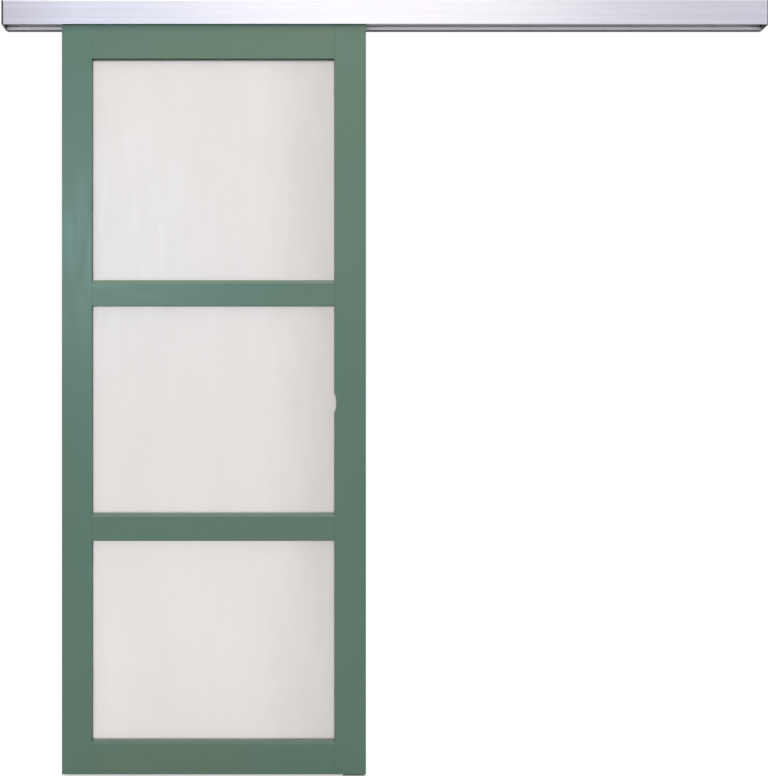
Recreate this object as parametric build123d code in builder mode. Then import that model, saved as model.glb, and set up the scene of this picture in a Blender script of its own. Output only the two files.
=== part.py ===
from build123d import *
import os

# A glazed sliding door: a wooden leaf with three frosted panes hangs from two trolleys in an
# aluminium track, behind a clip-on pelmet, with a guide on the floor. Sizes are in millimetres.
# X runs along the track, to the right seen from the room. Y runs into the wall, and the wall's
# surface is at Y = 0. Z is up, and the row of wall screws is at Z = 0. A depth is a distance out
# from the wall, towards the room.

# Leaf
leaf_width = 830.0
leaf_thickness = 40.0
left_stile_width = 82.0
right_stile_width = 86.0
bottom_rail_height = 91.0
bottom_pane_height = 546.0
lower_mid_rail_height = 75.5
middle_pane_height = 566.0
upper_mid_rail_height = 70.5
top_pane_height = 604.0
top_rail_height = 97.0
arris = 0.8
bevel_height = 9.0
bevel_depth = 5.0
lip_depth = 17.0
rebate_width = 10.0

# Finger notch in the closing stile, open on both faces of the leaf
notch_length = 56.0
notch_depth = 6.0
notch_above_bottom = 1013.5

# Glass, its seal and its beads
glass_thickness = 4.0
glass_edge_gap = 2.0
seal_thickness = 1.0
seal_setback = 1.0
bead_gap = 0.2
bead_chamfer = 5.0

# Dowels between rails and stiles
dowel_radius = 5.0
dowel_length = 80.0
dowel_end_gap = 2.0
dowel_spacing = 30.0
dowel_chamfer = 1.5

# Fits between a pin or bolt and its hole, and between pieces that hook or plug together
pin_fit = 0.05
clip_fit = 0.2

# Place of the leaf under the track
floor_gap = 7.0
leaf_wall_gap = 16.0
leaf_cover = 4.5
left_end_run = 158.0
right_end_run = 328.0
guide_cover = 66.0

# Wall profile
plate_thickness = 2.5
fixing_height = 32.0
fixing_count = 6
fixing_inset = 80.0
fixing_hole_radius = 2.75
foot_drop = 3.0
foot_reach = 13.0
foot_thickness = 2.0
foot_upturn = 7.0
shelf_thickness = 3.5
shelf_nose_gap = 3.0
upstand_thickness = 2.5
upstand_height = 6.8

# Track
hang_gap = 8.0
track_width = 34.0
track_height = 40.0
track_wall = 2.2
track_roof = 2.5
track_ledge = 2.5
track_slot = 12.0
rib_height = 1.0
rib_width = 3.0
track_screw_count = 5
track_screw_inset = 60.0
track_screw_radius = 2.5
track_screw_head_radius = 4.6
track_screw_tip = 3.0

# Pelmet and its end caps
pelmet_front_gap = 8.0
pelmet_thickness = 2.0
pelmet_lip = 3.0
pelmet_hook_drop = 5.5
pelmet_rib_height = 3.0
pelmet_corner_radius = 3.0
cap_thickness = 5.0
cap_tongue_length = 14.0
cap_tongue_thickness = 2.0
cap_tongue_inset = 8.0

# Trolleys
trolley_inset = 130.0
trolley_length = 90.0
trolley_body_width = 11.0
trolley_body_height = 18.0
trolley_boss_radius = 10.0
trolley_boss_height = 22.0
boss_rib_gap = 1.0
axle_spacing = 60.0
axle_radius = 2.5
axle_head_radius = 4.0
axle_head_thickness = 1.0
wheel_radius = 13.0
wheel_width = 6.0
wheel_side_gap = 0.8
wheel_rail_gap = 0.2
wheel_rim = 3.5
wheel_hub_wall = 2.5
wheel_web = 3.0
axle_head_gap = 0.2

# Hanger: a plate on the leaf, the bolt that it hangs from, and a lock nut
hanger_plate_length = 110.0
hanger_plate_width = 34.0
hanger_plate_thickness = 3.0
hanger_plate_corner = 4.0
hanger_slot_gap = 0.2
hanger_screw_spacing_x = 84.0
hanger_screw_spacing_y = 20.0
hanger_screw_radius = 2.0
hanger_screw_head_radius = 4.0
hanger_screw_hole_depth = 30.0
hanger_screw_end_gap = 1.0
bolt_radius = 4.0
bolt_head_across = 13.0
bolt_head_sides = 6
bolt_head_height = 5.3
bolt_end_gap = 1.0
bolt_thread_cover = 17.0
bolt_pocket_radius = 9.0
bolt_pocket_depth = 12.0
lock_nut_height = 4.0

# End stops in the track
stop_gap = 0.5
stop_length = 30.0
stop_width = 22.0
stop_height = 22.0
stop_key_gap = 0.3
stop_screw_radius = 3.0
bumper_radius = 6.0
bumper_length = 8.0
bumper_stem_radius = 3.0
bumper_stem_length = 6.0
bumper_stem_gap = 1.0
bumper_edge = 1.5

# Floor guide and the groove that runs over it
groove_width = 9.0
groove_depth = 18.0
guide_length = 60.0
guide_base_width = 38.0
guide_base_thickness = 4.0
guide_base_corner = 5.0
guide_fin_gap = 0.5
guide_fin_engagement = 13.0
guide_screw_spacing_x = 40.0
guide_screw_spacing_y = 20.0
guide_hole_radius = 2.5
guide_hole_head_radius = 4.5

countersink_angle = 90

# Heights
pelmet_bottom_z = -fixing_height
foot_bottom_z = pelmet_bottom_z - foot_drop
leaf_height = (
    bottom_rail_height
    + bottom_pane_height
    + lower_mid_rail_height
    + middle_pane_height
    + upper_mid_rail_height
    + top_pane_height
    + top_rail_height
)
leaf_top_z = pelmet_bottom_z + leaf_cover
leaf_bottom_z = leaf_top_z - leaf_height
floor_z = leaf_bottom_z - floor_gap
track_bottom_z = leaf_top_z + hang_gap
ledge_top_z = track_bottom_z + track_ledge
rib_top_z = ledge_top_z + rib_height
track_top_z = track_bottom_z + track_height
roof_under_z = track_top_z - track_roof
shelf_top_z = track_top_z + shelf_thickness
upstand_top_z = shelf_top_z + upstand_height
flange_under_z = upstand_top_z + clip_fit
pelmet_top_z = flange_under_z + pelmet_thickness
axle_z = rib_top_z + wheel_rail_gap + wheel_radius

# Depths from the wall
leaf_back = leaf_wall_gap
leaf_front = leaf_back + leaf_thickness
leaf_middle = (leaf_back + leaf_front) / 2
lip_back = leaf_front - lip_depth
glass_front = lip_back - seal_thickness
glass_back = glass_front - glass_thickness
pelmet_inside = leaf_front + pelmet_front_gap
pelmet_front = pelmet_inside + pelmet_thickness
shelf_nose = pelmet_inside - shelf_nose_gap
upstand_back = shelf_nose - upstand_thickness

# Places along the track
leaf_travel = leaf_width - guide_cover
track_length = left_end_run + leaf_width + leaf_travel + right_end_run
track_right_x = track_length / 2
track_left_x = -track_right_x
leaf_left_x = track_left_x + left_end_run
leaf_right_x = leaf_left_x + leaf_width
opening_left_x = leaf_left_x + left_stile_width
opening_right_x = leaf_right_x - right_stile_width
rail_length = opening_right_x - opening_left_x
guide_x = (leaf_left_x + leaf_right_x + leaf_travel) / 2
trolley_x = {"left": leaf_left_x + trolley_inset, "right": leaf_right_x - trolley_inset}

# Each pane's lower and upper sight line
bottom_pane_z = leaf_bottom_z + bottom_rail_height
lower_mid_rail_z = bottom_pane_z + bottom_pane_height
middle_pane_z = lower_mid_rail_z + lower_mid_rail_height
upper_mid_rail_z = middle_pane_z + middle_pane_height
top_pane_z = upper_mid_rail_z + upper_mid_rail_height
top_rail_z = top_pane_z + top_pane_height
panes = {
    "bottom": (bottom_pane_z, lower_mid_rail_z),
    "middle": (middle_pane_z, upper_mid_rail_z),
    "top": (top_pane_z, top_rail_z),
}

# Each rail's dowels stand about the middle of its full-thickness part
dowel_heights = {
    "bottom_rail": (leaf_bottom_z + groove_depth + bottom_pane_z - rebate_width) / 2,
    "lower_mid_rail": (lower_mid_rail_z + middle_pane_z) / 2,
    "upper_mid_rail": (upper_mid_rail_z + top_pane_z) / 2,
    "top_rail": (top_rail_z + rebate_width + leaf_top_z) / 2,
}

os.makedirs("parts", exist_ok=True)


def save(piece, name):
    """Labels a finished piece and writes its STEP file."""
    piece.part.label = name
    export_step(piece.part, f"parts/{name}.step")


def section_plane(right_x):
    """A plane across the track: local x is depth from the wall, local y is Z, extrusions go left."""
    return Plane(origin=(right_x, 0, 0), x_dir=(0, -1, 0), z_dir=(-1, 0, 0))


def front_plane(depth):
    """A plane parallel to the wall: local x is X, local y is Z, extrusions go towards the room."""
    return Plane(origin=(0, -depth, 0), x_dir=(1, 0, 0), z_dir=(0, -1, 0))


def spread(count, inset):
    """Evenly spaced places along the track, the outer two an inset from its ends."""
    pitch = (track_length - 2 * inset) / (count - 1)
    return [track_left_x + inset + pitch * i for i in range(count)]


def dowel_points():
    """Depth and height of each dowel, as places in the plane where rails meet a stile."""
    return [
        (-leaf_middle, middle + side * dowel_spacing / 2)
        for middle in dowel_heights.values()
        for side in (-1, 1)
    ]


def cut_dowel_holes(face_x, heading):
    """Blind holes for the dowels, from one joint face into the wood."""
    with BuildSketch(Plane.YZ.offset(face_x)) as holes:
        with Locations(*dowel_points()):
            Circle(dowel_radius + pin_fit)
    depth = dowel_length / 2 + dowel_end_gap
    extrude(holes.sketch, amount=heading * depth, mode=Mode.SUBTRACT)


def cut_groove():
    """The groove in the leaf's lower edge, which the floor guide's fin runs in."""
    with BuildSketch(section_plane(leaf_right_x)) as groove:
        with Locations((leaf_middle, leaf_bottom_z)):
            Rectangle(groove_width, 2 * groove_depth)
    extrude(groove.sketch, amount=leaf_width, mode=Mode.SUBTRACT)


def cut_notch(back, front):
    """The finger notch beside the middle pane, cut through one layer of the leaf."""
    notch_radius = (notch_length**2 / 4 + notch_depth**2) / (2 * notch_depth)
    notch_x = opening_right_x + notch_depth - notch_radius
    with BuildSketch(front_plane(back)) as notch:
        with Locations((notch_x, leaf_bottom_z + notch_above_bottom)):
            Circle(notch_radius)
    extrude(notch.sketch, amount=front - back, mode=Mode.SUBTRACT)


def stile(name, left_x, width, joint_x, heading):
    """One upright of the leaf, rebated behind for each pane, with its wood on the joint's far side."""
    with BuildPart() as upright:
        with BuildSketch(Plane.XY.offset(leaf_bottom_z)):
            with Locations((left_x + width / 2, -leaf_middle)):
                Rectangle(width, leaf_thickness)
        extrude(amount=leaf_height)
        fillet(upright.edges().filter_by(Axis.Z), radius=arris)
        with BuildSketch(front_plane(leaf_back)):
            for low, high in panes.values():
                with Locations((joint_x, (low + high) / 2)):
                    Rectangle(2 * rebate_width, high - low + 2 * rebate_width)
        extrude(amount=lip_back - leaf_back, mode=Mode.SUBTRACT)
        cut_dowel_holes(joint_x, heading)
        cut_groove()
        if name == "right_stile":
            cut_notch(lip_back, leaf_front)
    save(upright, name)


stile("left_stile", leaf_left_x, left_stile_width, opening_left_x, -1)
stile("right_stile", opening_right_x, right_stile_width, opening_right_x, 1)


def hanger_screw_points(side):
    """Places of the screws that hold one hanger plate on the leaf's top edge."""
    return [
        (trolley_x[side] + i * hanger_screw_spacing_x / 2, -leaf_middle + j * hanger_screw_spacing_y / 2)
        for i in (-1, 1)
        for j in (-1, 1)
    ]


def rail(name, low, high, glass_below, glass_above):
    """One cross piece of the leaf: a rebate on each side with glass, and a bevel under the glass."""
    outline = []
    if glass_below:
        outline += [(leaf_back, low + rebate_width), (lip_back, low + rebate_width), (lip_back, low)]
        outline += [(leaf_front - arris, low), (leaf_front, low + arris)]
    else:
        outline += [(leaf_back, low), (leaf_front, low)]
    if glass_above:
        outline += [(leaf_front, high - bevel_height), (leaf_front - bevel_depth, high)]
        outline += [(lip_back, high), (lip_back, high - rebate_width), (leaf_back, high - rebate_width)]
    else:
        outline += [(leaf_front, high), (leaf_back, high)]
    with BuildPart() as cross_piece:
        with BuildSketch(section_plane(opening_right_x)):
            with BuildLine():
                Polyline(*outline, close=True)
            make_face()
        extrude(amount=rail_length)
        cut_dowel_holes(opening_left_x, 1)
        cut_dowel_holes(opening_right_x, -1)
        if name == "bottom_rail":
            cut_groove()
        if name == "top_rail":
            with BuildSketch(Plane.XY.offset(leaf_top_z)):
                with Locations(*[(x, -leaf_middle) for x in trolley_x.values()]):
                    Circle(bolt_pocket_radius)
            extrude(amount=-bolt_pocket_depth, mode=Mode.SUBTRACT)
            with BuildSketch(Plane.XY.offset(leaf_top_z)):
                with Locations(*hanger_screw_points("left"), *hanger_screw_points("right")):
                    Circle(hanger_screw_radius + pin_fit)
            extrude(amount=-hanger_screw_hole_depth, mode=Mode.SUBTRACT)
    save(cross_piece, name)


rail("bottom_rail", leaf_bottom_z, bottom_pane_z, False, True)
rail("lower_mid_rail", lower_mid_rail_z, middle_pane_z, True, True)
rail("upper_mid_rail", upper_mid_rail_z, top_pane_z, True, True)
rail("top_rail", top_rail_z, leaf_top_z, True, False)

# Two dowels in each of the eight joints
with BuildPart() as dowels:
    for joint_x in (opening_left_x, opening_right_x):
        with BuildSketch(Plane.YZ.offset(joint_x - dowel_length / 2)):
            with Locations(*dowel_points()):
                Circle(dowel_radius)
        extrude(amount=dowel_length)
    chamfer(dowels.edges().filter_by(GeomType.CIRCLE), length=dowel_chamfer)
save(dowels, "frame_dowels")

# Each pane lies on a seal behind the frame's lip, and four mitred beads hold it from behind
glass_cover = rebate_width - glass_edge_gap
opening_middle_x = (opening_left_x + opening_right_x) / 2


def glazing(name, low, high):
    """One pane of glass with its seal and its four beads."""
    middle_z = (low + high) / 2
    glass_size = (rail_length + 2 * glass_cover, high - low + 2 * glass_cover)
    seal_opening = (rail_length + 2 * seal_setback, high - low + 2 * seal_setback)
    with BuildPart() as glass:
        with BuildSketch(front_plane(glass_back)):
            with Locations((opening_middle_x, middle_z)):
                Rectangle(*glass_size)
        extrude(amount=glass_thickness)
    save(glass, f"glass_{name}")

    with BuildPart() as seal:
        with BuildSketch(front_plane(glass_front)):
            with Locations((opening_middle_x, middle_z)):
                Rectangle(*glass_size)
                Rectangle(*seal_opening, mode=Mode.SUBTRACT)
        extrude(amount=seal_thickness)
        if name == "middle":
            cut_notch(glass_front, lip_back)
    save(seal, f"glazing_seal_{name}")

    reach = rebate_width - bead_gap
    inner = [
        (opening_left_x, low),
        (opening_right_x, low),
        (opening_right_x, high),
        (opening_left_x, high),
    ]
    outer = [
        (opening_left_x - reach, low - reach),
        (opening_right_x + reach, low - reach),
        (opening_right_x + reach, high + reach),
        (opening_left_x - reach, high + reach),
    ]
    for i, side in enumerate(("lower", "right", "upper", "left")):
        j = (i + 1) % len(inner)
        with BuildPart() as bead:
            with BuildSketch(front_plane(leaf_back)):
                with BuildLine():
                    Polyline(inner[i], inner[j], outer[j], outer[i], close=True)
                make_face()
            extrude(amount=glass_back - leaf_back)
            back_edges = bead.faces().sort_by(Axis.Y)[-1].edges()
            pane_middle = (opening_middle_x, -leaf_back, middle_z)
            chamfer(back_edges.sort_by_distance(pane_middle)[0], length=bead_chamfer)
            if (name, side) == ("middle", "right"):
                cut_notch(leaf_back, glass_back)
        save(bead, f"bead_{name}_{side}")


for name, (low, high) in panes.items():
    glazing(name, low, high)

# Wall profile: a plate on the wall, with a turned-up foot below and a shelf above that carries
# the track and ends in the upstand that the pelmet hooks over
with BuildPart() as wall_profile:
    with BuildSketch(section_plane(track_right_x)):
        with BuildLine():
            Polyline(
                (0, foot_bottom_z),
                (foot_reach, foot_bottom_z),
                (foot_reach, foot_bottom_z + foot_upturn),
                (foot_reach - foot_thickness, foot_bottom_z + foot_upturn),
                (foot_reach - foot_thickness, foot_bottom_z + foot_thickness),
                (plate_thickness, foot_bottom_z + foot_thickness),
                (plate_thickness, track_top_z),
                (shelf_nose, track_top_z),
                (shelf_nose, upstand_top_z),
                (upstand_back, upstand_top_z),
                (upstand_back, shelf_top_z),
                (0, shelf_top_z),
                close=True,
            )
        make_face()
    extrude(amount=track_length)
    with BuildSketch(front_plane(0)):
        with Locations(*[(x, 0) for x in spread(fixing_count, fixing_inset)]):
            Circle(fixing_hole_radius)
    extrude(amount=plate_thickness, mode=Mode.SUBTRACT)
    with BuildSketch(Plane.XY.offset(track_top_z)):
        with Locations(*[(x, -leaf_middle) for x in spread(track_screw_count, track_screw_inset)]):
            Circle(track_screw_radius + pin_fit)
    extrude(amount=shelf_thickness, mode=Mode.SUBTRACT)
save(wall_profile, "wall_profile")

# Track: a channel open below, with a ledge and a running rib on each side of its slot
track_inside_width = track_width - 2 * track_wall
ledge_width = (track_inside_width - track_slot) / 2
ledge_offset = (track_slot + ledge_width) / 2
with BuildPart() as track:
    with BuildSketch(section_plane(track_right_x)):
        with Locations((leaf_middle, (track_bottom_z + track_top_z) / 2)):
            Rectangle(track_width, track_height)
        with Locations((leaf_middle, (ledge_top_z + roof_under_z) / 2)):
            Rectangle(track_inside_width, roof_under_z - ledge_top_z, mode=Mode.SUBTRACT)
        with Locations((leaf_middle, (track_bottom_z + ledge_top_z) / 2)):
            Rectangle(track_slot, track_ledge, mode=Mode.SUBTRACT)
        with Locations(*[(leaf_middle + side * ledge_offset, ledge_top_z) for side in (-1, 1)]):
            Rectangle(rib_width, 2 * rib_height)
    extrude(amount=track_length)
    for x in spread(track_screw_count, track_screw_inset):
        with Locations(Plane(origin=(x, -leaf_middle, roof_under_z), z_dir=(0, 0, -1))):
            CounterSinkHole(
                track_screw_radius + pin_fit,
                track_screw_head_radius + pin_fit,
                depth=track_roof,
                counter_sink_angle=countersink_angle,
            )
save(track, "track")


def countersunk_screw(head_radius, shank_radius, length, heading):
    """A screw whose flat head lies at the place it stands on, and whose shank runs along Z."""
    end = Align.MAX if heading < 0 else Align.MIN
    head_height = head_radius - shank_radius
    lower, upper = (shank_radius, head_radius) if heading < 0 else (head_radius, shank_radius)
    Cone(lower, upper, head_height, align=(Align.CENTER, Align.CENTER, end))
    Cylinder(shank_radius, length, align=(Align.CENTER, Align.CENTER, end))


with BuildPart() as track_screws:
    for x in spread(track_screw_count, track_screw_inset):
        with Locations((x, -leaf_middle, roof_under_z)):
            screw_length = track_roof + shelf_thickness + track_screw_tip
            countersunk_screw(track_screw_head_radius, track_screw_radius, screw_length, 1)
save(track_screws, "track_screws")

# Pelmet: a thin extruded cover whose flange hooks over the upstand
hook_front = upstand_back - clip_fit
hook_back = hook_front - pelmet_thickness
rib_nose = shelf_nose + clip_fit
pelmet_rib_z = shelf_top_z - pelmet_rib_height
with BuildPart() as pelmet:
    with BuildSketch(section_plane(track_right_x)) as pelmet_section:
        with BuildLine():
            Polyline(
                (pelmet_front, pelmet_bottom_z),
                (pelmet_front, pelmet_top_z),
                (hook_back, pelmet_top_z),
                (hook_back, flange_under_z - pelmet_hook_drop),
                (hook_front, flange_under_z - pelmet_hook_drop),
                (hook_front, flange_under_z),
                (pelmet_inside, flange_under_z),
                (pelmet_inside, shelf_top_z),
                (rib_nose, shelf_top_z),
                (rib_nose, pelmet_rib_z),
                (pelmet_inside, pelmet_rib_z),
                (pelmet_inside, pelmet_bottom_z + pelmet_thickness),
                (pelmet_inside - pelmet_lip, pelmet_bottom_z + pelmet_thickness),
                (pelmet_inside - pelmet_lip, pelmet_bottom_z),
                close=True,
            )
        make_face()
        corner = pelmet_section.vertices().sort_by_distance((pelmet_front, pelmet_top_z))[0]
        fillet(corner, radius=pelmet_corner_radius)
        corner = pelmet_section.vertices().sort_by_distance((pelmet_front, pelmet_bottom_z))[0]
        fillet(corner, radius=pelmet_thickness / 2)
    extrude(amount=track_length)
save(pelmet, "pelmet")


def end_cap(name, face_x, heading):
    """A plate over one end of the casing, with two tongues that push into the profiles."""
    outer_x = face_x + heading * cap_thickness
    tongue_x = face_x - heading * cap_tongue_length
    with BuildPart() as cap:
        with BuildSketch(section_plane(max(face_x, outer_x))) as outline:
            with BuildLine():
                Polyline(
                    (0, foot_bottom_z),
                    (foot_reach, foot_bottom_z),
                    (pelmet_front, pelmet_bottom_z),
                    (pelmet_front, pelmet_top_z),
                    (0, pelmet_top_z),
                    close=True,
                )
            make_face()
            corner = outline.vertices().sort_by_distance((pelmet_front, pelmet_top_z))[0]
            fillet(corner, radius=pelmet_corner_radius)
        extrude(amount=cap_thickness)
        back_tongue_width = upstand_back - pelmet_thickness - 2 * cap_tongue_inset
        back_tongue_z = shelf_top_z + clip_fit + cap_tongue_thickness / 2
        front_tongue_low = pelmet_bottom_z + pelmet_thickness + cap_tongue_inset
        front_tongue_high = pelmet_rib_z - cap_tongue_inset
        front_tongue_depth = pelmet_inside - clip_fit - cap_tongue_thickness / 2
        with BuildSketch(section_plane(max(face_x, tongue_x))):
            with Locations((cap_tongue_inset + back_tongue_width / 2, back_tongue_z)):
                Rectangle(back_tongue_width, cap_tongue_thickness)
            with Locations((front_tongue_depth, (front_tongue_low + front_tongue_high) / 2)):
                Rectangle(cap_tongue_thickness, front_tongue_high - front_tongue_low)
        extrude(amount=cap_tongue_length)
    save(cap, name)


end_cap("end_cap_left", track_left_x, -1)
end_cap("end_cap_right", track_right_x, 1)

# Trolleys
body_back = leaf_middle - trolley_body_width / 2
wheel_offset = trolley_body_width / 2 + wheel_side_gap + wheel_width / 2
axle_half = wheel_offset + wheel_width / 2 + axle_head_gap + axle_head_thickness
boss_bottom_z = rib_top_z + boss_rib_gap
bolt_top_z = boss_bottom_z + bolt_thread_cover
hanger_plate_top_z = leaf_top_z + hanger_plate_thickness


def trolley_body(side):
    """The trolley's bar, round at both ends, with a threaded boss in its middle."""
    with BuildPart() as body:
        with BuildSketch(front_plane(body_back)):
            with Locations((trolley_x[side], axle_z)):
                SlotOverall(trolley_length, trolley_body_height)
        extrude(amount=trolley_body_width)
        with BuildSketch(Plane.XY.offset(boss_bottom_z)):
            with Locations((trolley_x[side], -leaf_middle)):
                Circle(trolley_boss_radius)
        extrude(amount=trolley_boss_height)
        with BuildSketch(Plane.XY.offset(boss_bottom_z)):
            with Locations((trolley_x[side], -leaf_middle)):
                Circle(bolt_radius + pin_fit)
        extrude(amount=bolt_thread_cover + bolt_end_gap, mode=Mode.SUBTRACT)
        with BuildSketch(front_plane(body_back)):
            with Locations(*[(x, axle_z) for x in axle_places(side)]):
                Circle(axle_radius + pin_fit)
        extrude(amount=trolley_body_width, mode=Mode.SUBTRACT)
    save(body, f"{side}_trolley_body")


def axle_places(side):
    """Places along the track of one trolley's two axles."""
    return [trolley_x[side] - axle_spacing / 2, trolley_x[side] + axle_spacing / 2]


def trolley_axles(side):
    """Two riveted axles, each with a head outside its wheels."""
    with BuildPart() as axles:
        with BuildSketch(front_plane(leaf_middle - axle_half)):
            with Locations(*[(x, axle_z) for x in axle_places(side)]):
                Circle(axle_radius)
        extrude(amount=2 * axle_half)
        for depth in (leaf_middle - axle_half, leaf_middle + axle_half - axle_head_thickness):
            with BuildSketch(front_plane(depth)):
                with Locations(*[(x, axle_z) for x in axle_places(side)]):
                    Circle(axle_head_radius)
            extrude(amount=axle_head_thickness)
    save(axles, f"{side}_trolley_axles")


def wheel(name, x, depth):
    """A moulded wheel: hub, thin web and rim, turned about its axle."""
    bore = axle_radius + pin_fit
    hub = bore + wheel_hub_wall
    rim = wheel_radius - wheel_rim
    half = wheel_width / 2
    web = wheel_web / 2
    upper = [
        (bore, half),
        (hub, half),
        (hub, web),
        (rim, web),
        (rim, half),
        (wheel_radius, half),
    ]
    lower = [(r, -t) for r, t in reversed(upper)]
    with BuildPart() as roller:
        with BuildSketch(Plane(origin=(x, -depth, axle_z), x_dir=(1, 0, 0), z_dir=(0, 0, 1))):
            with BuildLine():
                Polyline(*upper, *lower, close=True)
            make_face()
        revolve(axis=Axis((x, -depth, axle_z), (0, 1, 0)))
    save(roller, name)


def hanger(side):
    """The plate on the leaf's top edge, the bolt that hooks into it, and the lock nut."""
    x = trolley_x[side]
    slot_radius = bolt_radius + hanger_slot_gap
    with BuildPart() as plate:
        with BuildSketch(Plane.XY.offset(leaf_top_z)):
            with Locations((x, -leaf_middle)):
                RectangleRounded(hanger_plate_length, hanger_plate_width, hanger_plate_corner)
                Circle(slot_radius, mode=Mode.SUBTRACT)
            with Locations((x, -leaf_middle - hanger_plate_width / 2)):
                Rectangle(2 * slot_radius, hanger_plate_width, mode=Mode.SUBTRACT)
        extrude(amount=hanger_plate_thickness)
        with Locations(*[(px, py, hanger_plate_top_z) for px, py in hanger_screw_points(side)]):
            CounterSinkHole(
                hanger_screw_radius + pin_fit,
                hanger_screw_head_radius + pin_fit,
                depth=hanger_plate_thickness,
                counter_sink_angle=countersink_angle,
            )
    save(plate, f"{side}_hanger_plate")

    with BuildPart() as bolt:
        with BuildSketch(Plane.XY.offset(leaf_top_z - bolt_head_height)):
            with Locations((x, -leaf_middle)):
                RegularPolygon(bolt_head_across / 2, bolt_head_sides, major_radius=False)
        extrude(amount=bolt_head_height)
        with BuildSketch(Plane.XY.offset(leaf_top_z)):
            with Locations((x, -leaf_middle)):
                Circle(bolt_radius)
        extrude(amount=bolt_top_z - leaf_top_z)
    save(bolt, f"{side}_hanger_bolt")

    with BuildPart() as nut:
        with BuildSketch(Plane.XY.offset(hanger_plate_top_z)):
            with Locations((x, -leaf_middle)):
                RegularPolygon(bolt_head_across / 2, bolt_head_sides, major_radius=False)
                Circle(bolt_radius + pin_fit, mode=Mode.SUBTRACT)
        extrude(amount=lock_nut_height)
    save(nut, f"{side}_lock_nut")


for side in ("left", "right"):
    trolley_body(side)
    trolley_axles(side)
    hanger(side)
    for end, x in zip(("outer", "inner") if side == "left" else ("inner", "outer"), axle_places(side)):
        wheel(f"{side}_wheel_{end}_back", x, leaf_middle - wheel_offset)
        wheel(f"{side}_wheel_{end}_front", x, leaf_middle + wheel_offset)

with BuildPart() as hanger_screws:
    for px, py in hanger_screw_points("left") + hanger_screw_points("right"):
        with Locations((px, py, hanger_plate_top_z)):
            screw_length = hanger_plate_thickness + hanger_screw_hole_depth - hanger_screw_end_gap
            countersunk_screw(hanger_screw_head_radius, hanger_screw_radius, screw_length, -1)
save(hanger_screws, "hanger_plate_screws")

# End stops, each clamped in the track by a screw that jacks it off the roof
stop_face = {
    "left": trolley_x["left"] - trolley_length / 2 - stop_gap,
    "right": trolley_x["right"] + trolley_length / 2 + leaf_travel + stop_gap,
}


def end_stop(side, heading):
    """A block on the running ribs, keyed in the slot, with a rubber bumper towards the trolley."""
    block_face = stop_face[side] + heading * bumper_length
    block_x = block_face + heading * stop_length / 2
    with BuildPart() as block:
        with BuildSketch(Plane.XY.offset(rib_top_z)):
            with Locations((block_x, -leaf_middle)):
                Rectangle(stop_length, stop_width)
        extrude(amount=stop_height)
        with BuildSketch(Plane.XY.offset(track_bottom_z)):
            with Locations((block_x, -leaf_middle)):
                Rectangle(stop_length, track_slot - 2 * stop_key_gap)
        extrude(amount=rib_top_z - track_bottom_z)
        with BuildSketch(Plane.XY.offset(track_bottom_z)):
            with Locations((block_x, -leaf_middle)):
                Circle(stop_screw_radius + pin_fit)
        extrude(amount=stop_height + rib_top_z - track_bottom_z, mode=Mode.SUBTRACT)
        with BuildSketch(Plane.YZ.offset(block_face)):
            with Locations((-leaf_middle, axle_z)):
                Circle(bumper_stem_radius + pin_fit)
        extrude(amount=heading * (bumper_stem_length + bumper_stem_gap), mode=Mode.SUBTRACT)
    save(block, f"end_stop_{side}")

    with BuildPart() as bumper:
        with BuildSketch(Plane.YZ.offset(block_face)):
            with Locations((-leaf_middle, axle_z)):
                Circle(bumper_radius)
        extrude(amount=-heading * bumper_length)
        chamfer(bumper.edges().sort_by(Axis.X)[-1 if heading < 0 else 0], length=bumper_edge)
        with BuildSketch(Plane.YZ.offset(block_face)):
            with Locations((-leaf_middle, axle_z)):
                Circle(bumper_stem_radius)
        extrude(amount=heading * bumper_stem_length)
    save(bumper, f"stop_bumper_{side}")
    return block_x


stop_places = [end_stop("left", -1), end_stop("right", 1)]

with BuildPart() as stop_screws:
    with BuildSketch(Plane.XY.offset(track_bottom_z)):
        with Locations(*[(x, -leaf_middle) for x in stop_places]):
            Circle(stop_screw_radius)
    extrude(amount=roof_under_z - track_bottom_z)
save(stop_screws, "stop_screws")

# Floor guide: a base plate with a fin that stands in the leaf's groove
fin_width = groove_width - 2 * guide_fin_gap
fin_top_z = leaf_bottom_z + guide_fin_engagement
base_top_z = floor_z + guide_base_thickness
with BuildPart() as floor_guide:
    with BuildSketch(Plane.XY.offset(floor_z)):
        with Locations((guide_x, -leaf_middle)):
            RectangleRounded(guide_length, guide_base_width, guide_base_corner)
    extrude(amount=guide_base_thickness)
    with BuildSketch(Plane.XY.offset(floor_z)):
        with Locations((guide_x, -leaf_middle)):
            SlotOverall(guide_length, fin_width)
    extrude(amount=fin_top_z - floor_z)
    for i in (-1, 1):
        for j in (-1, 1):
            hole_x = guide_x + i * guide_screw_spacing_x / 2
            hole_y = -leaf_middle + j * guide_screw_spacing_y / 2
            with Locations((hole_x, hole_y, base_top_z)):
                CounterSinkHole(
                    guide_hole_radius,
                    guide_hole_head_radius,
                    depth=guide_base_thickness,
                    counter_sink_angle=countersink_angle,
                )
save(floor_guide, "floor_guide")
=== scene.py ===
import math

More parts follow.
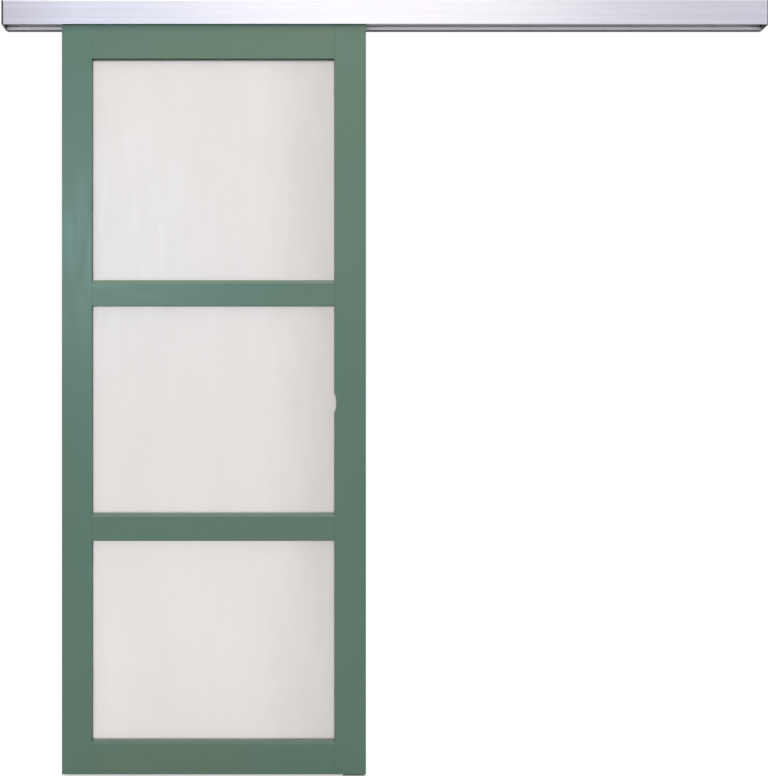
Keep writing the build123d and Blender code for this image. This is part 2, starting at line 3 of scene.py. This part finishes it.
import bmesh
import bpy
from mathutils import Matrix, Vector


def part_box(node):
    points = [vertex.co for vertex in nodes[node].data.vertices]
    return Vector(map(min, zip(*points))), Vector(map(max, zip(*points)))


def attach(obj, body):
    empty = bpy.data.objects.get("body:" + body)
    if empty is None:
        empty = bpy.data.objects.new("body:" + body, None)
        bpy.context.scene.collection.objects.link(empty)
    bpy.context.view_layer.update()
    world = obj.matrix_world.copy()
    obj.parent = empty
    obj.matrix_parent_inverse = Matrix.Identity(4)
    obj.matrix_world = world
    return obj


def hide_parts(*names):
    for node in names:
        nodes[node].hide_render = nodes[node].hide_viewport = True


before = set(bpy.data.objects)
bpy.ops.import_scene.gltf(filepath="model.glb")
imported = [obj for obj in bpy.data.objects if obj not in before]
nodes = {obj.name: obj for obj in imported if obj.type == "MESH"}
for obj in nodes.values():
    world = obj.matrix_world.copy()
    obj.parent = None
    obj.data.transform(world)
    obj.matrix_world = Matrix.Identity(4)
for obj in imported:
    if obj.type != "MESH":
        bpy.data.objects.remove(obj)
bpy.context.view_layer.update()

SIDES = ("left", "right")

# The photograph's camera stands square to the leaf, level with its middle
PHOTO_LONG_SIDE = 776
FOCAL_PIXELS = 1429.4
SENSOR = 36.0
CAMERA_PLACE = (-0.257, -3.956, -1.0231)
CAMERA_SHIFT = 0.12

# Tones and roughness of the lacquer, the painted shade on the faces beside the panes, and what is added
# to the roughness there
LACQUER_GREEN = (0.102, 0.193, 0.145)
LACQUER_OLIVE = (0.119, 0.200, 0.134)
LACQUER_BLUE = (0.101, 0.198, 0.156)
LACQUER_PORE = (0.070, 0.135, 0.100)
LACQUER_REVEAL_SHADE = (0.040, 0.068, 0.055)
LACQUER_ROUGHNESS = (0.28, 0.35)
REVEAL_ROUGHENING = 0.6

# A face counts as beside the panes, taking the painted shade and the added roughness, while its normal
# leans less than this to the front or back, fading between the two
REVEAL_TURN = (0.35, 0.45)

# Tones and roughness of the panes, and the painted shade that darkens them towards the closing stile,
# with where along the track it comes in
GLASS_DULL = (0.872, 0.826, 0.818)
GLASS_PALE = (0.903, 0.860, 0.852)
GLASS_STREAK = (0.822, 0.785, 0.776)
GLASS_FIBRE = (0.835, 0.80, 0.79)
GLASS_SHADE = (0.875, 0.858, 0.852)
GLASS_ROUGHNESS = (0.30, 0.40)
GLASS_SHADE_SPAN = (-0.27, -0.11)
GLASS_SHADE_WANDER = 0.12

# Tones of the aluminium, and where along the track a painted shade darkens the pelmet towards its left
# end
PELMET_TONE = (0.615, 0.594, 0.69)
PELMET_END_SHADE = (0.82, 0.785, 0.79)
PROFILE_TONE = (0.86, 0.84, 0.87)
PELMET_SHADE_SPAN = (-1.02, -0.80)
PELMET_SHADE_WANDER = 0.1
BRUSHED_DARKENING = 0.9
BRUSHED_ROUGHNESS_SPREAD = (0.05, 0.08)

# Clouds a metre and spread of roughness on plain moulded, plated or cut surfaces
PLAIN_CLOUDS = 40
PLAIN_ROUGHNESS_SPREAD = 0.06

# Dark grey strip under the wall profile's foot, a painted shade line, in metres from the wall and down
FOOT_REACH = 0.013
STRIP_HEIGHT = 0.004
STRIP_BACK_GAP = 0.003
STRIP_FRONT_GAP = 0.002
STRIP_ROUND = 0.0016
STRIP_POINTS = 8

# Turned and threaded hardware, in metres: shank and socket are half widths, head and plain are heights
RING_POINTS = 48
HEX_SIDES = 6
TRACK_SCREW = {"shank": 0.0025, "pitch": 0.0008, "socket": 0.0015}
WOOD_SCREW = {"shank": 0.0020, "pitch": 0.0018, "socket": 0.00125}
STOP_SCREW = {"pitch": 0.0010, "socket": 0.0015}
LOCK_NUT = {"shank": 0.0040, "pitch": 0.00125}
HANGER_BOLT = {**LOCK_NUT, "head": 0.0053, "plain": 0.0070}

# Threads: steps a turn, and depth as a share of the pitch on a screw and in a nut
THREAD_STEPS = 6
THREAD_DEPTH = 0.6
NUT_THREAD_DEPTH = 0.2

# Countersunk screws: the socket's depth in sockets, the rim's height and face in radii of the head,
# and the tip's radius in shanks
SOCKET_DEPTH = 1.2
RIM_HEIGHT = 0.05
RIM_FACE = 0.97
SCREW_TIP = 0.35

# Set screws: the socket's depth in sockets, and each end's height and face in radii
GRUB_SOCKET_DEPTH = 2.0
GRUB_FOOT = (0.2, 0.8)
GRUB_POINT = (0.4, 0.6)

# Hexagon chamfers, as radii in shares of the distance across the flats
HEX_FACE = 0.47
BOLT_CORNER = 0.55
NUT_CORNER = 0.565

# Bolts: where the chamfer ends on the flats and on the corners, as shares of the head's height,
# and the point's height and face in shanks
BOLT_CHAMFER = (0.12, 0.22)
BOLT_POINT = (0.3, 0.7)

# Nuts: the chamfer as a share of the nut's height, and the mouth of the bore in shanks
NUT_CHAMFER = 0.14
NUT_MOUTH = 1.12

# Meshes: the gap that is welded in metres, and the angle from which an edge is sharp
WELD = 1e-6
SHARP_EDGE = math.radians(28)

# Stage and light
FLOOR_REACH = 40.0
FLOOR_TONE = (0.8, 0.8, 0.8)
FLOOR_GLOW = 0.6
SKY_LIGHT = 0.55
WHITE = (1, 1, 1)

# Places of the factor, the two colours and the result on a colour mixing node
MIX_FACTOR, MIX_FIRST, MIX_SECOND, MIX_RESULT = 0, 6, 7, 2


# Shader graphs


def add_node(tree, kind, inputs=None, **settings):
    """A shader node with its settings, and with its inputs set or linked."""
    node = tree.nodes.new(kind)
    for key, value in settings.items():
        setattr(node, key, value)
    for key, value in (inputs or {}).items():
        give(tree, node.inputs[key], value)
    return node


def give(tree, socket, value):
    """Links a socket to a node output, or sets it to a value."""
    if isinstance(value, bpy.types.NodeSocket):
        tree.links.new(value, socket)
    else:
        socket.default_value = value


def new_material(name, **constants):
    """A material whose shader holds the given constants, with the piece's own coordinates."""
    material = bpy.data.materials.new(name)
    material.use_nodes = True
    tree = material.node_tree
    shader = tree.nodes["Principled BSDF"]
    for key, value in constants.items():
        shader.inputs[key.replace("_", " ")].default_value = value
    place = add_node(tree, "ShaderNodeTexCoord").outputs["Object"]
    return material, tree, shader, place


def noise(tree, place, per_metre, detail=2.0, roughness=0.5, offset=(0, 0, 0)):
    """Noise with its own number of features a metre along each axis."""
    inputs = {"Vector": place, "Scale": per_metre, "Location": offset}
    spread = add_node(tree, "ShaderNodeMapping", inputs).outputs["Vector"]
    inputs = {"Vector": spread, "Scale": 1.0, "Detail": detail, "Roughness": roughness}
    return add_node(tree, "ShaderNodeTexNoise", inputs).outputs["Fac"]


def ranged(tree, value, low, high, start=0.3, end=0.7):
    """The value between start and end, spread from low to high."""
    inputs = {"Value": value, "From Min": start, "From Max": end, "To Min": low, "To Max": high}
    return add_node(tree, "ShaderNodeMapRange", inputs).outputs["Result"]


def maths(tree, operation, *values):
    """The result of an operation on values and node outputs."""
    return add_node(tree, "ShaderNodeMath", dict(enumerate(values)), operation=operation).outputs[0]


def parted(tree, vector):
    """The X, Y and Z of a vector."""
    return add_node(tree, "ShaderNodeSeparateXYZ", {"Vector": vector}).outputs


def opaque(colour):
    """A colour with full alpha, or a node output as it is."""
    return (*colour, 1) if isinstance(colour, tuple) else colour


def mixed(tree, factor, first, second, blend="MIX"):
    """Two colours mixed by a factor."""
    inputs = {MIX_FACTOR: factor, MIX_FIRST: opaque(first), MIX_SECOND: opaque(second)}
    node = add_node(tree, "ShaderNodeMix", inputs, data_type="RGBA", blend_type=blend)
    return node.outputs[MIX_RESULT]


def bumped(tree, height, distance, strength, below=None):
    """A surface normal raised by a height, over another relief if one is given."""
    inputs = {"Height": height, "Distance": distance, "Strength": strength}
    if below:
        inputs["Normal"] = below
    return add_node(tree, "ShaderNodeBump", inputs).outputs["Normal"]


def dressed(shader, tree, **links):
    """Links the shader's inputs to node outputs."""
    for key, socket in links.items():
        tree.links.new(socket, shader.inputs[key.replace("_", " ")])


def within(tree, value, low, high):
    """1 where the value is between low and high, and 0 elsewhere."""
    return maths(tree, "COMPARE", value, (low + high) / 2, (high - low) / 2)


def reveal_shade_mask(tree, place):
    """Where painted shade goes on the narrow faces around the panes: 1 where they look down, half where
    upright, 0 where up.
    """
    turn = add_node(tree, "ShaderNodeNewGeometry").outputs["True Normal"]
    facing = parted(tree, turn)
    spot = parted(tree, place)
    low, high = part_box("glass_bottom")[0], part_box("glass_top")[1]
    in_width = within(tree, spot["X"], low.x, high.x)
    in_height = within(tree, spot["Z"], low.z, high.z)
    inside = maths(tree, "MULTIPLY", in_width, in_height)
    edge_on = ranged(tree, maths(tree, "ABSOLUTE", facing["Y"]), 1, 0, *REVEAL_TURN)
    narrow = maths(tree, "MULTIPLY", inside, edge_on)
    return maths(tree, "MULTIPLY", narrow, ranged(tree, facing["Z"], 1, 0, start=-1, end=1))


# Materials


def lacquer(name, along, reveal_shading=True):
    """Satin grey-green lacquer over wood with its grain along one axis, and painted shade on the faces
    beside the panes if asked.
    """
    material, tree, shader, place = new_material(name, Specular_IOR_Level=0.5)

    def stretched(across_count, along_count):
        return tuple(along_count if axis == along else across_count for axis in range(3))

    cloud = noise(tree, place, stretched(9, 2.2), detail=3.0)
    drift = noise(tree, place, stretched(3.1, 0.9), offset=(4, 7, 2))
    grain = noise(tree, place, stretched(520, 14), detail=4.0, roughness=0.6)
    peel = noise(tree, place, (420, 420, 420), detail=1.0)
    smear = noise(tree, place, stretched(38, 6), detail=3.0)
    tone = mixed(tree, ranged(tree, cloud, 0, 1), LACQUER_GREEN, LACQUER_OLIVE)
    tone = mixed(tree, ranged(tree, drift, 0, 1), tone, LACQUER_BLUE)
    tone = mixed(tree, ranged(tree, grain, 0, 0.09), tone, LACQUER_PORE)
    relief = bumped(tree, grain, distance=0.00006, strength=0.35)
    relief = bumped(tree, peel, distance=0.00003, strength=0.25, below=relief)
    roughness = ranged(tree, smear, *LACQUER_ROUGHNESS)
    if reveal_shading:
        # Painted shade on the faces beside the panes, darkest where they look down
        reveal_shade = reveal_shade_mask(tree, place)
        tone = mixed(tree, reveal_shade, tone, LACQUER_REVEAL_SHADE)
        roughness = maths(tree, "MULTIPLY_ADD", reveal_shade, REVEAL_ROUGHENING, roughness)
    dressed(shader, tree, Base_Color=tone, Roughness=roughness, Normal=relief)
    return material


def frosted_glass(name):
    """Frosted glass with soft upright clouds, streaks and fibres, and a painted shade towards the
    closing stile.
    """
    material, tree, shader, place = new_material(
        name, Transmission_Weight=0.82, IOR=1.5, Specular_IOR_Level=0.35
    )
    cloud = noise(tree, place, (7, 7, 1.6), detail=3.0)
    streak = noise(tree, place, (46, 46, 5.5), detail=4.0, roughness=0.55)
    fibre = noise(tree, place, (150, 150, 24), detail=3.0, roughness=0.6, offset=(5, 2, 8))
    patch = noise(tree, place, (17, 17, 9), detail=3.0, roughness=0.6, offset=(1, 6, 3))
    grit = noise(tree, place, (2300, 2300, 2300), detail=1.0)
    tone = mixed(tree, ranged(tree, cloud, 0, 1), GLASS_DULL, GLASS_PALE)
    tone = mixed(tree, ranged(tree, streak, 0, 0.35), tone, GLASS_STREAK)
    tone = mixed(tree, ranged(tree, fibre, 0, 0.3), tone, GLASS_FIBRE)
    # Painted shade towards the closing stile, with an uneven edge
    wander = maths(tree, "MULTIPLY_ADD", patch, GLASS_SHADE_WANDER, parted(tree, place)["X"])
    tone = mixed(tree, ranged(tree, wander, 0, 1, *GLASS_SHADE_SPAN), tone, GLASS_SHADE, "MULTIPLY")
    roughness = ranged(tree, streak, *GLASS_ROUGHNESS)
    relief = bumped(tree, grit, distance=0.00004, strength=0.4)
    dressed(shader, tree, Base_Color=tone, Roughness=roughness, Normal=relief)
    return material


def brushed_aluminium(name, tint, rough, end_shade=WHITE):
    """Anodised aluminium brushed along the track, with a painted shade of its own at the left end."""
    material, tree, shader, place = new_material(name, Metallic=1.0)
    line = noise(tree, place, (3.0, 1700, 1700), detail=3.0, roughness=0.6)
    smear = noise(tree, place, (1.3, 130, 130), detail=3.0, roughness=0.55, offset=(3, 1, 5))
    deep = tuple(channel * BRUSHED_DARKENING for channel in tint)
    tone = mixed(tree, ranged(tree, smear, 0, 1), deep, tint)
    tone = mixed(tree, ranged(tree, line, 0, 0.3), tone, deep)
    # Painted shade towards the left end, with an uneven edge
    wander = maths(tree, "MULTIPLY_ADD", smear, PELMET_SHADE_WANDER, parted(tree, place)["X"])
    tone = mixed(tree, ranged(tree, wander, 1, 0, *PELMET_SHADE_SPAN), tone, end_shade, "MULTIPLY")
    below, above = BRUSHED_ROUGHNESS_SPREAD
    roughness = ranged(tree, line, rough - below, rough + above)
    relief = bumped(tree, line, distance=0.00002, strength=0.3)
    dressed(shader, tree, Base_Color=tone, Roughness=roughness, Normal=relief)
    return material


def mottled(name, dark, light, rough, grit_per_metre, relief, metallic=0.0, stretch=(1, 1, 1)):
    """A plain moulded, plated or cut surface: two near tones, fine grit and uneven gloss."""
    material, tree, shader, place = new_material(name, Metallic=metallic)
    cloud = noise(tree, place, tuple(PLAIN_CLOUDS * s for s in stretch), detail=3.0)
    grit = noise(tree, place, tuple(grit_per_metre * s for s in stretch))
    tone = mixed(tree, ranged(tree, cloud, 0, 1), dark, light)
    tone = mixed(tree, ranged(tree, grit, 0, 0.25), tone, dark)
    roughness = ranged(tree, cloud, rough - PLAIN_ROUGHNESS_SPREAD, rough + PLAIN_ROUGHNESS_SPREAD)
    normal = bumped(tree, grit, distance=relief, strength=0.5)
    dressed(shader, tree, Base_Color=tone, Roughness=roughness, Normal=normal)
    return material


upright_lacquer = lacquer("lacquer_upright", along=2)
level_lacquer = lacquer("lacquer_level", along=0)
upright_bead_lacquer = lacquer("lacquer_bead_upright", along=2, reveal_shading=False)
level_bead_lacquer = lacquer("lacquer_bead_level", along=0, reveal_shading=False)
glass = frosted_glass("glass_frosted")
bright_aluminium = brushed_aluminium("aluminium_pelmet", PELMET_TONE, 0.30, PELMET_END_SHADE)
mill_aluminium = brushed_aluminium("aluminium_profile", PROFILE_TONE, 0.58)
cap_plastic = mottled(
    "plastic_cap", dark=(0.036, 0.030, 0.040), light=(0.054, 0.046, 0.060),
    rough=0.5, grit_per_metre=1500, relief=0.00002
)
seal_rubber = mottled(
    "rubber_seal", dark=(0.012, 0.012, 0.012), light=(0.022, 0.022, 0.022),
    rough=0.75, grit_per_metre=1200, relief=0.00003
)
# Dark grey for the painted shade line under the wall profile's foot
shade_strip_grey = mottled(
    "grey_shade_strip", dark=(0.15, 0.135, 0.145), light=(0.20, 0.18, 0.195),
    rough=0.8, grit_per_metre=1400, relief=0.00005
)
silicone = mottled(
    "silicone_clear", dark=(0.70, 0.71, 0.69), light=(0.80, 0.80, 0.78),
    rough=0.45, grit_per_metre=600, relief=0.00002
)
zinc = mottled(
    "steel_zinc", dark=(0.46, 0.46, 0.47), light=(0.60, 0.60, 0.60),
    rough=0.34, grit_per_metre=900, relief=0.00001, metallic=1.0
)
wheel_nylon = mottled(
    "nylon_wheel", dark=(0.60, 0.59, 0.55), light=(0.70, 0.69, 0.65),
    rough=0.42, grit_per_metre=1100, relief=0.00001
)
guide_acetal = mottled(
    "acetal_guide", dark=(0.74, 0.74, 0.73), light=(0.82, 0.82, 0.81),
    rough=0.36, grit_per_metre=1300, relief=0.00001
)
beech = mottled(
    "beech_dowel", dark=(0.42, 0.25, 0.12), light=(0.55, 0.36, 0.19),
    rough=0.6, grit_per_metre=900, relief=0.00004, stretch=(0.05, 1, 1)
)


def paint(name, material):
    """Gives a CAD node one material."""
    mesh = nodes[name].data
    mesh.materials.clear()
    mesh.materials.append(material)


def cad_material(name):
    """The material of a CAD node."""
    if name.startswith("glass_"):
        return glass
    if name.startswith("glazing_seal"):
        return silicone
    if name.startswith("stop_bumper"):
        return seal_rubber
    if name.startswith("bead_"):
        return level_bead_lacquer if name.endswith(("lower", "upper")) else upright_bead_lacquer
    if name.endswith("stile"):
        return upright_lacquer
    if name.endswith("rail"):
        return level_lacquer
    if name == "frame_dowels":
        return beech
    if name == "pelmet":
        return bright_aluminium
    if name in ("wall_profile", "track"):
        return mill_aluminium
    if name.startswith("end_cap"):
        return cap_plastic
    if name == "floor_guide":
        return guide_acetal
    if "wheel" in name:
        return wheel_nylon
    return zinc


for node_name in nodes:
    paint(node_name, cad_material(node_name))


# Hardware, turned in mesh code where its node stands


def solids(name):
    """The lowest and highest corner of each separate solid of a CAD node, from left to right."""
    mesh = bmesh.new()
    mesh.from_mesh(nodes[name].data)
    bmesh.ops.remove_doubles(mesh, verts=mesh.verts, dist=WELD)
    left, boxes = set(mesh.verts), []
    while left:
        group, edge = set(), {left.pop()}
        while edge:
            group |= edge
            edge = {e.other_vert(v) for v in edge for e in v.link_edges} - group
        left -= group
        corners = [[pick(v.co[axis] for v in group) for axis in range(3)] for pick in (min, max)]
        boxes.append(tuple(Vector(corner) for corner in corners))
    mesh.free()
    return sorted(boxes, key=lambda pair: (pair[0].x, pair[0].y))


def hexagon(across):
    """The radius of a hexagon by angle, from the distance across its flats."""
    part = math.tau / HEX_SIDES
    return lambda angle: across / 2 / math.cos(angle % part - part / 2)


def chamfered(side, corner):
    """The radius of a hexagon by angle, with its corners turned down to a circle."""
    return lambda angle: min(side(angle), corner)


def thread(start, end, radius, pitch, depth):
    """Rings of a thread between two heights, cut into a radius, or out from it if depth is negative."""
    steps = max(2, round(abs(end - start) / pitch * THREAD_STEPS))
    rings = []
    for step in range(steps + 1):
        height = start + (end - start) * step / steps

        def cut(angle, turns=height / pitch):
            ridge = abs(2 * ((turns - angle / math.tau) % 1) - 1)
            return radius - depth * ridge

        rings.append((height, cut))
    return rings


def around(count):
    """Each place in a closed row with the next one."""
    return [(i, (i + 1) % count) for i in range(count)]


def loft(mesh, place, rings, hollow):
    """Adds a solid around an upright axis from rings of a height and a radius, fixed or by angle.

    The last ring of a hollow solid joins the first, and any other solid is closed at both ends.
    """
    angles = [math.tau * i / RING_POINTS for i in range(RING_POINTS)]
    loops = []
    for height, radius in rings:
        reach = [radius(angle) if callable(radius) else radius for angle in angles]
        loops.append([
            mesh.verts.new((place.x + r * math.cos(a), place.y + r * math.sin(a), height))
            for r, a in zip(reach, angles)
        ])
    for lower, upper in zip(loops, loops[1:] + loops[:1] if hollow else loops[1:]):
        for i, j in around(RING_POINTS):
            mesh.faces.new((lower[i], lower[j], upper[j], upper[i]))
    if not hollow:
        for loop in (loops[0], loops[-1]):
            middle = mesh.verts.new((place.x, place.y, loop[0].co.z))
            for i, j in around(RING_POINTS):
                mesh.faces.new((loop[i], loop[j], middle))


def joined(name, mesh, body, slot, material, *replaced):
    """Makes a mesh a smooth piece with sharp edges, which rides a body and may stand for CAD nodes."""
    bmesh.ops.recalc_face_normals(mesh, faces=mesh.faces)
    data = bpy.data.meshes.new(name)
    mesh.to_mesh(data)
    mesh.free()
    for face in data.polygons:
        face.use_smooth = True
    data.set_sharp_from_angle(angle=SHARP_EDGE)
    data.materials.append(material)
    piece = bpy.data.objects.new(name, data)
    bpy.context.scene.collection.objects.link(piece)
    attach(piece, body)
    if replaced:
        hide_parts(*replaced)


def hardware(name, body, node, shape, hollow=False, **sizes):
    """One zinc-plated piece that stands for a CAD node, with a solid lofted for each of the node's."""
    mesh = bmesh.new()
    for low, high in solids(node):
        loft(mesh, (low + high) / 2, shape(low, high, **sizes), hollow)
    joined(name, mesh, body, "zinc_steel", zinc, node)


def countersunk(low, high, shank, pitch, socket, up):
    """A countersunk screw with a hexagon socket, whose head is below if up is 1 and above if -1."""
    head = (high.x - low.x) / 2
    face, tip = (low.z, high.z) if up > 0 else (high.z, low.z)
    socket_end = face + up * SOCKET_DEPTH * socket
    rim_end = face + up * head * RIM_HEIGHT
    neck = face + up * (head - shank)
    key = hexagon(2 * socket)
    rings = [(socket_end, key), (face, key), (face, head * RIM_FACE), (rim_end, head), (neck, shank)]
    rings += thread(neck + up * pitch, tip - up * shank, shank, pitch, pitch * THREAD_DEPTH)
    return rings + [(tip, shank * SCREW_TIP)]


def grub(low, high, pitch, socket):
    """A headless set screw with a socket in its lower end and a blunt point."""
    radius = (high.x - low.x) / 2
    socket_end = low.z + GRUB_SOCKET_DEPTH * socket
    foot_height, foot_face = GRUB_FOOT
    point_height, point_face = GRUB_POINT
    start, end = low.z + radius * foot_height, high.z - radius * point_height
    key = hexagon(2 * socket)
    rings = [(socket_end, key), (low.z, key), (low.z, radius * foot_face)]
    rings += thread(start, end, radius, pitch, pitch * THREAD_DEPTH)
    return rings + [(high.z, radius * point_face)]


def hex_bolt(low, high, shank, pitch, head, plain):
    """A hexagon bolt, head down, with chamfered corners and a plain neck."""
    across = high.y - low.y
    side = hexagon(across)
    corner = chamfered(side, across * BOLT_CORNER)
    on_flats, on_corners = [low.z + head * share for share in BOLT_CHAMFER]
    point_height, point_face = BOLT_POINT
    seat = low.z + head
    neck, end = seat + plain, high.z - shank * point_height
    rings = [(low.z, across * HEX_FACE), (on_flats, corner), (on_corners, side)]
    rings += [(seat, side), (seat, shank), (neck, shank)]
    rings += thread(neck, end, shank, pitch, pitch * THREAD_DEPTH)
    return rings + [(high.z, shank * point_face)]


def hex_nut(low, high, shank, pitch):
    """A thin hexagon nut, chamfered on both faces, with a threaded bore."""
    across = high.y - low.y
    edge = (high.z - low.z) * NUT_CHAMFER
    lower, upper = low.z + edge, high.z - edge
    face, mouth = across * HEX_FACE, shank * NUT_MOUTH
    corner = chamfered(hexagon(across), across * NUT_CORNER)
    rings = [(low.z, face), (lower, corner), (upper, corner), (high.z, face), (high.z, mouth)]
    rings += thread(upper, lower, shank, pitch, -pitch * NUT_THREAD_DEPTH)
    return rings + [(low.z, mouth)]


def shade_line_strip():
    """A dark grey strip with rounded lower edges under the wall profile's foot, along the whole wall,
    painting the shade line there.
    """
    low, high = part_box("wall_profile")
    back, front = -STRIP_BACK_GAP, -(FOOT_REACH - STRIP_FRONT_GAP)
    top, bottom = low.z, low.z - STRIP_HEIGHT
    outline = [(back, top)]
    for centre, start in ((back - STRIP_ROUND, 0), (front + STRIP_ROUND, 90)):
        for step in range(STRIP_POINTS + 1):
            angle = math.radians(start + 90 * step / STRIP_POINTS)
            rise = STRIP_ROUND * (1 - math.sin(angle))
            outline.append((centre + STRIP_ROUND * math.cos(angle), bottom + rise))
    outline.append((front, top))
    mesh = bmesh.new()
    left, right = [[mesh.verts.new((x, y, z)) for y, z in outline] for x in (low.x, high.x)]
    for i, j in around(len(outline)):
        mesh.faces.new((left[i], left[j], right[j], right[i]))
    mesh.faces.new(left)
    mesh.faces.new(right)
    joined("shade_line_strip", mesh, "casing", "rubber", shade_strip_grey)


shade_line_strip()
hardware("track_screws_threaded", "casing", "track_screws", countersunk, up=1, **TRACK_SCREW)
hardware("plate_screws_threaded", "leaf", "hanger_plate_screws", countersunk, up=-1, **WOOD_SCREW)
hardware("stop_screws_threaded", "casing", "stop_screws", grub, **STOP_SCREW)
for hand in SIDES:
    hardware(f"{hand}_bolt_threaded", "leaf", f"{hand}_hanger_bolt", hex_bolt, **HANGER_BOLT)
    hardware(f"{hand}_nut_threaded", "leaf", f"{hand}_lock_nut", hex_nut, hollow=True, **LOCK_NUT)


# Stage, light and camera


def seen_directly(tree):
    """1 for a ray from the camera, or one that a gloss or a glass sends on."""
    rays = add_node(tree, "ShaderNodeLightPath").outputs
    either = maths(tree, "MAXIMUM", rays["Is Camera Ray"], rays["Is Glossy Ray"])
    return maths(tree, "MAXIMUM", either, rays["Is Transmission Ray"])


def floor():
    """A pale floor at the height of the floor guide's underside, which keeps the shadow."""
    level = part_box("floor_guide")[0].z
    low, high = -FLOOR_REACH, FLOOR_REACH
    mesh = bpy.data.meshes.new("floor")
    corners = [(low, low, level), (high, low, level), (high, high, level), (low, high, level)]
    mesh.from_pydata(corners, [], [(0, 1, 2, 3)])
    ground = bpy.data.objects.new("floor", mesh)
    bpy.context.scene.collection.objects.link(ground)
    material = bpy.data.materials.new("floor_pale")
    material.use_nodes = True
    tree = material.node_tree
    tree.nodes.clear()
    matt = add_node(tree, "ShaderNodeBsdfDiffuse", {"Color": opaque(FLOOR_TONE)}).outputs[0]
    inputs = {"Color": opaque(WHITE), "Strength": FLOOR_GLOW}
    glow = add_node(tree, "ShaderNodeEmission", inputs).outputs[0]
    total = add_node(tree, "ShaderNodeAddShader", {0: matt, 1: glow}).outputs[0]
    pick = add_node(tree, "ShaderNodeMixShader", {0: seen_directly(tree), 1: matt, 2: total})
    add_node(tree, "ShaderNodeOutputMaterial", {"Surface": pick.outputs[0]})
    mesh.materials.append(material)


def sky():
    """White where it is seen, and a soft even light for all else."""
    world = bpy.data.worlds.new("studio")
    bpy.context.scene.world = world
    world.use_nodes = True
    tree = world.node_tree
    tree.nodes.clear()
    soft = add_node(tree, "ShaderNodeBackground", {"Color": opaque(WHITE), "Strength": SKY_LIGHT})
    white = add_node(tree, "ShaderNodeBackground", {"Color": opaque(WHITE), "Strength": 1.0})
    inputs = {0: seen_directly(tree), 1: soft.outputs[0], 2: white.outputs[0]}
    pick = add_node(tree, "ShaderNodeMixShader", inputs)
    add_node(tree, "ShaderNodeOutputWorld", {"Surface": pick.outputs[0]})


def softbox(name, place, target, size, power, colour):
    """An area light that faces a target."""
    light = bpy.data.lights.new(name, "AREA")
    light.shape = "RECTANGLE"
    light.size, light.size_y = size
    light.energy = power
    light.color = colour
    lamp = bpy.data.objects.new(name, light)
    bpy.context.scene.collection.objects.link(lamp)
    lamp.location = place
    lamp.rotation_euler = (Vector(target) - Vector(place)).to_track_quat("-Z", "Y").to_euler()


def camera():
    """A camera with the photograph's place, angle and framing."""
    lens = bpy.data.cameras.new("camera")
    lens.sensor_width = SENSOR
    lens.lens = FOCAL_PIXELS * SENSOR / PHOTO_LONG_SIDE
    lens.shift_x = CAMERA_SHIFT
    viewer = bpy.data.objects.new("camera", lens)
    bpy.context.scene.collection.objects.link(viewer)
    viewer.location = CAMERA_PLACE
    viewer.rotation_euler = (math.radians(90), 0, 0)
    bpy.context.scene.camera = viewer


floor()
sky()
softbox(
    "ceiling", place=(-0.4, -1.9, 2.3), target=(-0.4, 0, -1.0),
    size=(2.6, 2.0), power=39, colour=(1.0, 0.92, 0.73)
)
softbox(
    "strip", place=(0.28, -4.0, 1.05), target=(0, 0, 0),
    size=(1.9, 0.6), power=6.6, colour=(1.0, 0.98, 0.74)
)
softbox(
    "window", place=(-1.28, -4.0, -0.26), target=(-0.78, 0, -0.64),
    size=(0.6, 0.72), power=15.5, colour=(0.55, 0.87, 1.0)
)
softbox(
    "glow", place=(-0.10, -4.0, -0.25), target=(-0.2, 0, -0.64),
    size=(1.5, 0.6), power=3.5, colour=(0.62, 0.95, 1.0)
)
camera()
bpy.context.scene.view_settings.view_transform = "Standard"
